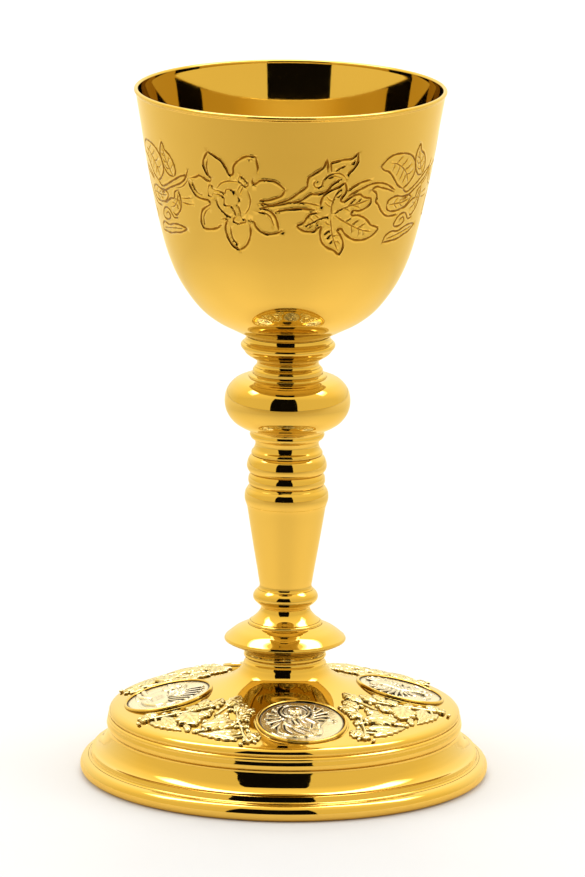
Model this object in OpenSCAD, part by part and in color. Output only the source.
// Communion chalice, built up on a central tie rod.
// Millimetres, +Z up, origin at the centre of the foot on the table, front toward -Y.

/* [Cup] */
// Wall thickness of the spun cup
cup_wall = 1.0; // [0.8:0.1:1.4]
// Radius of the rolled bead round the lip
lip_bead_r = 0.7; // [0.5:0.05:0.8]

/* [Stem] */
// Radius of the spigot that registers each turned piece in the next
spigot_r = 6.0; // [5.6:0.1:6.2]
// Length of each spigot
spigot_len = 1.5; // [1.2:0.1:1.5]
// Radius of the clearance bore through the stem
stem_bore_r = 4.5; // [4.3:0.1:4.8]
// Radial clearance of the spigots
spigot_gap = 0.05; // [0.03:0.01:0.1]

/* [Tie rod and fasteners] */
// Radius of the threaded tie rod
rod_r = 4.0; // [3.5:0.1:4.0]
// Radial clearance between rod and tapped holes
thread_gap = 0.05; // [0.02:0.01:0.1]
// Width across the flats of the foot nut
nut_af = 13; // [12:0.5:14]
// Height of the foot nut
nut_h = 6.5; // [5:0.5:6.5]
// Outer radius of the foot washer
washer_r = 8.0; // [7.5:0.5:10]

/* [Foot] */
// Height at which the tie rod ends inside the foot
rod_end_z = 19; // [18:0.5:21]
// Radius of the stiffening plate under the foot's crown
plate_r = 11; // [9:0.5:11]

/* [Medallions] */
// Radius of the silver medallions
medallion_r = 13.2; // [12:0.1:13.2]
// Width of the bezel round each medallion
bezel_w = 1.15; // [0.8:0.05:1.2]
// Height of the bezel above its seat
bezel_h = 1.0; // [0.8:0.1:1.4]
// Azimuth of the front medallion
first_azimuth = -81.5; // [-90:0.5:-45]
// Radius of the screw studs behind the medallions
stud_r = 1.5; // [1.2:0.1:1.5]

/* [Foliage] */
// Thickness of the cast foliage between the medallions
foliage_h = 1.1; // [0.8:0.1:1.5]

/* [Quality] */
// Segments in each span of a curve
curve_steps = 4; // [2:1:6]

/* [Hidden] */
$fn = 96;
gold = "#DDAF3E";
silver = "#CDC8BF";
steel = "#9DA1A6";

// heights where the pieces meet, from the table up
z_ring = 7.2;      // foot ring / foot skirt
z_skirt = 14.0;    // foot skirt / foot dome
z_crown = 35.8;    // foot dome / neck
z_neck = 40.4;     // neck / lower knop
z_lknop = 53.4;    // lower knop / baluster ring
z_bring = 60.8;    // baluster ring / baluster
z_bal = 92.4;      // baluster / ribbed sleeve
z_sleeve = 107.7;  // ribbed sleeve / knop base ring
z_kbase = 111.0;   // knop base ring / knop
z_knop = 128.0;    // knop / knop cap
z_cap = 132.7;     // knop cap / upper collar
z_cup = 141.4;     // upper collar / cup
z_top = 220;       // lip

// the seat of each medallion: centre and tilt of its plane
seat_r = 37;
seat_z = 24.85;
seat_tilt = 13.1;

// a smooth curve through control points
function cr_at(a, b, c, d, t) =
    0.5 * (2 * b + (c - a) * t + (2 * a - 5 * b + 4 * c - d) * t * t
           + (3 * b - a - 3 * c + d) * t * t * t);
function cr(p, n = curve_steps) =
    let (m = len(p), q = concat([2 * p[0] - p[1]], p, [2 * p[m - 1] - p[m - 2]]))
    [for (i = [1 : m - 1]) for (k = [0 : n - 1]) cr_at(q[i - 1], q[i], q[i + 1], q[i + 2], k / n),
     p[m - 1]];
// several smooth runs joined at creases
function runs(rs) =
    [for (i = [0 : len(rs) - 1])
        let (c = cr(rs[i]), s = (i > 0 && rs[i][0] == rs[max(i - 1, 0)][len(rs[max(i - 1, 0)]) - 1]) ? 1 : 0)
        for (j = [s : len(c) - 1]) c[j]];
// a curve moved sideways by t
function shifted(c, t) =
    [for (i = [0 : len(c) - 1])
        let (a = c[max(i - 1, 0)], b = c[min(i + 1, len(c) - 1)], d = (b - a) / norm(b - a))
        c[i] + t * [-d[1], d[0]]];
function flip(c) = [for (i = [len(c) - 1 : -1 : 0]) c[i]];

// control points [radius, height], each run smooth
cup_out = [[13.3, 141.4], [18.4, 144.0], [23.2, 146.6], [27.8, 150.3], [32.0, 155.6], [35.4, 161.4],
           [38.4, 169.0], [40.75, 177.8], [43.15, 188.6], [45.1, 198.6], [46.65, 208.2],
           [48.1, 216.6], [48.4, 218.4]];
collar_out = [
    [[9.7, 132.7], [10.2, 133.5], [11.8, 134.5]],
    [[11.8, 134.5], [13.2, 135.5], [14.0, 136.6]],
    [[14.0, 136.6], [14.8, 137.6], [14.8, 138.5], [14.0, 139.3]],
    [[14.0, 139.3], [13.4, 140.1], [13.1, 141.4]]];
cap_out = [
    [[12.4, 128.0], [12.2, 128.6], [11.0, 129.1]],
    [[11.0, 129.1], [11.0, 130.3], [10.3, 131.2]],
    [[10.3, 131.2], [9.8, 131.9], [9.7, 132.7]]];
knop_out = [
    [[12.0, 111.0], [14.6, 112.1], [17.3, 114.0], [19.2, 116.9], [19.8, 120.3],
     [19.0, 123.9], [16.8, 126.5], [14.2, 127.7], [12.4, 128.0]]];
kbase_out = [
    [[10.3, 107.7], [11.3, 108.3], [11.8, 109.3], [11.6, 110.2], [12.0, 111.0]]];
sleeve_out = [
    [[12.0, 92.4], [11.75, 92.8], [11.6, 93.2]],
    [[11.6, 93.2], [12.0, 93.8], [12.15, 94.7], [11.95, 95.9], [11.35, 97.0]],
    [[11.35, 97.0], [12.15, 97.8], [12.6, 99.1], [12.4, 100.6], [11.9, 101.9], [10.95, 102.9]],
    [[10.95, 102.9], [11.25, 103.3], [11.1, 104.0], [10.4, 105.0], [10.0, 106.4], [10.3, 107.7]]];
baluster_out = [
    [[8.2, 60.8], [8.5, 62.5], [9.15, 66.5], [10.35, 73.5], [11.5, 80.5], [12.3, 85.5], [12.7, 87.0]],
    [[12.7, 87.0], [13.15, 88.4], [13.2, 90.0], [12.9, 91.3], [12.2, 92.4]]];
bring_out = [
    [[7.7, 53.4], [8.1, 54.2], [9.2, 55.1], [10.1, 56.2], [10.2, 57.4], [9.6, 58.5], [8.7, 59.4]],
    [[8.7, 59.4], [8.3, 60.0], [8.2, 60.8]]];
lknop_out = [
    [[14.0, 40.4], [17.0, 41.8], [18.8, 42.7], [19.2, 43.2], [18.9, 43.9]],
    [[18.9, 43.9], [16.0, 46.2], [13.4, 47.5], [11.7, 48.2]],
    [[11.7, 48.2], [11.6, 48.8], [11.0, 49.2]],
    [[11.0, 49.2], [9.3, 50.7], [8.1, 52.2], [7.7, 53.4]]];
neck_out = [
    [[12.9, 35.8], [12.4, 36.5], [12.3, 37.2]],
    [[12.7, 37.4], [13.0, 38.0], [12.8, 38.6]],
    [[12.8, 38.6], [13.1, 39.6], [14.0, 40.4]]];
crown_out = [[52.4, 21.6], [45.0, 23.2], [37.0, 24.9], [28.0, 27.0], [20.0, 29.4], [15.4, 32.0],
             [13.4, 34.6], [12.9, 35.8]];
skirt_out = [
    [[60.8, 7.2], [59.6, 7.5], [58.2, 8.6], [57.0, 10.4], [56.2, 12.4], [55.6, 14.0]]];
skirt_in = [[54.3, 14.0], [54.9, 12.0], [55.7, 9.9], [56.8, 8.2], [57.6, 7.2]];
dome_out = [
    [[55.6, 14.0], [56.0, 14.7], [56.2, 15.8], [55.9, 17.0]],
    [[55.9, 17.0], [55.8, 17.8], [55.2, 18.4]],
    [[55.2, 18.4], [55.5, 19.4], [54.9, 20.5], [53.8, 21.2], [52.4, 21.6]],
    crown_out];
dome_in = [[11.8, 34.2], [12.4, 33.0], [14.4, 30.8], [19.4, 28.1], [27.6, 25.75], [36.7, 23.65],
           [44.7, 21.95], [51.6, 20.4], [53.3, 19.8], [54.1, 18.8], [54.2, 17.2], [54.5, 15.6],
           [54.3, 14.0]];
ring_out = [
    [[63.0, 0.0], [64.1, 0.8], [64.5, 2.2], [64.2, 3.5], [63.3, 4.6], [61.9, 5.2]],
    [[61.9, 5.2], [61.3, 5.6], [61.1, 6.4], [60.8, 7.2]]];

// a turned piece: outline from the bottom up, a spigot below and a recess above
module turned(outline, z0, z1, spigot = true, recess = true) {
    top = recess ? [[spigot_r + spigot_gap, z1], [spigot_r + spigot_gap, z1 - spigot_len - 0.1],
                    [stem_bore_r, z1 - spigot_len - 0.1]] : [[stem_bore_r, z1]];
    low = spigot ? [[stem_bore_r, z0 - spigot_len], [spigot_r, z0 - spigot_len], [spigot_r, z0]]
                 : [[stem_bore_r, z0]];
    rotate_extrude() polygon(concat(low, runs(outline), top));
}

module cup() color(gold) {
    outer = cr(cup_out);
    inner = shifted(outer, cup_wall);
    bead = [for (a = [-40 : 25 : 210]) [48.25 + lip_bead_r * cos(a), z_top - lip_bead_r + lip_bead_r * sin(a)]];
    rotate_extrude() polygon(concat([[0, z_cup]], outer, bead, flip(inner), [[0, inner[0][1]]]));
}
module cup_boss() color(gold)
    rotate_extrude() polygon([[0, z_cup], [7.95, z_cup], [7.95, z_cap], [5.4, z_cap], [5.4, z_cap - 0.95],
        [rod_r + thread_gap, z_cap - 0.95], [rod_r + thread_gap, 139.8], [0, 139.8]]);
module upper_collar() color(gold)
    rotate_extrude() polygon(concat([[8.0, z_cap]], runs(collar_out), [[8.0, z_cup]]));
module cup_washer() color(steel)
    translate([0, 0, z_cap - 1]) difference() {
        cylinder(r = 7.0, h = 1);
        translate([0, 0, -1]) cylinder(r = 5.45, h = 3);
    }
module rod_lock_nut() color(steel)
    difference() {
        translate([0, 0, 129]) cylinder(r = 7.0, h = 2.7);
        translate([0, 0, 128]) cylinder(r = rod_r + thread_gap, h = 5);
        // driving slots
        for (a = [0, 90]) rotate(a) translate([-8, -0.75, 130.9]) cube([16, 1.5, 2]);
    }
module tie_rod() color(steel)
    rotate_extrude() polygon([[0, rod_end_z], [rod_r - 0.6, rod_end_z], [rod_r, rod_end_z + 0.6],
        [rod_r, 138.7], [rod_r - 0.6, 139.3], [0, 139.3]]);
module knop_cap() color(gold)
    rotate_extrude() polygon(concat(
        [[stem_bore_r, z_knop - spigot_len], [spigot_r, z_knop - spigot_len], [spigot_r, z_knop]],
        runs(cap_out), [[7.1, z_cap], [7.1, 129], [stem_bore_r, 129]]));
module knop() color(gold)
    rotate_extrude() polygon(concat(
        [[stem_bore_r, z_kbase - spigot_len], [spigot_r, z_kbase - spigot_len], [spigot_r, z_kbase]],
        runs(knop_out),
        [[spigot_r + spigot_gap, z_knop], [spigot_r + spigot_gap, z_knop - spigot_len - 0.1],
         [stem_bore_r, z_knop - spigot_len - 0.1]],
        [[stem_bore_r, 124.4], [12.8, 124.4], [16.0, 121.6], [16.0, 118.4], [12.8, 115.2],
         [stem_bore_r, 115.2]]));
module knop_base_ring() color(gold) turned(kbase_out, z_sleeve, z_kbase);
module ribbed_sleeve() color(gold) turned(sleeve_out, z_bal, z_sleeve);
module baluster() color(gold) turned(baluster_out, z_bring, z_bal);
module baluster_ring() color(gold) turned(bring_out, z_lknop, z_bring);
module lower_knop() color(gold) turned(lknop_out, z_neck, z_lknop);
module foot_neck() color(gold) turned(neck_out, z_crown, z_neck);

// places its children in the plane of medallion seat k
module at_seat(k)
    rotate(first_azimuth + 90 * (k - 1)) translate([seat_r, 0, seat_z]) rotate([0, seat_tilt, 0]) children();

module foot_dome() color(gold)
    difference() {
        union() {
            rotate_extrude() polygon(concat(runs(dome_out),
                [[spigot_r + spigot_gap, z_crown], [spigot_r + spigot_gap, 34.2]], cr(dome_in, 3)));
            for (k = [1 : 4]) at_seat(k) translate([0, 0, -1.3]) cylinder(r = medallion_r + bezel_w + 0.5, h = 1.3);
        }
        for (k = [1 : 4]) at_seat(k) {
            translate([0, 0, -4]) cylinder(r = stud_r + 0.1, h = 6);
            // shallow recess that each medallion and bezel sit in
            cylinder(r = medallion_r + bezel_w + 0.1, h = 3);
        }
    }
module foot_skirt() color(gold)
    rotate_extrude() polygon(concat(runs(skirt_out), cr(skirt_in, 3)));
module foot_ring() color(gold)
    rotate_extrude() polygon(concat(runs(ring_out), [[57.6, z_ring], [57.6, 6.2], [60.4, 3.4], [60.4, 0]]));
module foot_plate() color(steel)
    translate([0, 0, 32.2]) difference() {
        cylinder(r = plate_r, h = 2);
        translate([0, 0, -1]) cylinder(r = stem_bore_r, h = 4);
    }
module foot_washer() color(steel)
    translate([0, 0, 30.6]) difference() {
        cylinder(r = washer_r, h = 1.6);
        translate([0, 0, -1]) cylinder(r = rod_r + 0.2, h = 4);
    }
module foot_nut() color(steel)
    translate([0, 0, 30.6 - nut_h]) difference() {
        intersection() {
            cylinder(r = nut_af / 2 / cos(30), h = nut_h, $fn = 6);
            // turned chamfer on the corners
            rotate_extrude() polygon([[0, 0], [nut_af / 2 - 0.2, 0], [nut_af / 2 + 1.2, 0.8], [nut_af / 2 + 1.2, nut_h], [0, nut_h]]);
        }
        translate([0, 0, -1]) cylinder(r = rod_r + thread_gap, h = nut_h + 2);
    }

module medallion(k) color(silver) at_seat(k)
    rotate_extrude() polygon([[0, 0], [medallion_r, 0], [medallion_r, 0.4], [medallion_r - 1, 0.5],
        [medallion_r * 0.6, 0.85], [medallion_r * 0.3, 1.1], [0, 1.15]]);
module bezel(k) color(gold) at_seat(k)
    rotate_extrude() let (a = medallion_r + 0.05, b = medallion_r + bezel_w)
        polygon([[a, 0], [b, 0], [b, bezel_h - 0.5], [b - 0.3, bezel_h - 0.12], [(a + b) / 2, bezel_h],
                 [a + 0.2, bezel_h - 0.12], [a, bezel_h - 0.4]]);
module foliage(k) color(gold) {
    c = cr([for (i = [0 : 4]) crown_out[i]]);
    rotate(first_azimuth + 45 + 90 * (k - 1)) intersection() {
        rotate_extrude() polygon(concat([for (p = c) p + [0, 0.04]], flip([for (p = c) p + [0, foliage_h]])));
        translate([0, 0, 15]) linear_extrude(20) {
            for (p = [[24.5, 0, 4.2], [30, 0, 6.2], [45, 0, 6.8]]) translate([p[0], p[1]]) circle(r = p[2]);
            for (s = [-1, 1], p = [[36.5, 6, 6.2], [43.5, 12, 6.0], [45, 18, 3.6]])
                translate([p[0], s * p[1]]) circle(r = p[2]);
        }
    }
}
module medallion_studs() color(steel)
    for (k = [1 : 4]) at_seat(k) translate([0, 0, -5]) cylinder(r = stud_r, h = 5);
module stud_nuts() color(steel)
    for (k = [1 : 4]) at_seat(k) translate([0, 0, -4.2]) difference() {
        cylinder(r = 5.5 / 2 / cos(30), h = 2.4, $fn = 6);
        translate([0, 0, -1]) cylinder(r = stud_r + thread_gap, h = 5);
    }
module medallion_1() medallion(1);
module medallion_2() medallion(2);
module medallion_3() medallion(3);
module medallion_4() medallion(4);
module bezel_1() bezel(1);
module bezel_2() bezel(2);
module bezel_3() bezel(3);
module bezel_4() bezel(4);
module foliage_1() foliage(1);
module foliage_2() foliage(2);
module foliage_3() foliage(3);
module foliage_4() foliage(4);

cup();
cup_boss();
upper_collar();
cup_washer();
rod_lock_nut();
tie_rod();
knop_cap();
knop();
knop_base_ring();
ribbed_sleeve();
baluster();
baluster_ring();
lower_knop();
foot_neck();
foot_dome();
foot_skirt();
foot_ring();
foot_plate();
foot_washer();
foot_nut();
medallion_1();
medallion_2();
medallion_3();
medallion_4();
bezel_1();
bezel_2();
bezel_3();
bezel_4();
foliage_1();
foliage_2();
foliage_3();
foliage_4();
medallion_studs();
stud_nuts();
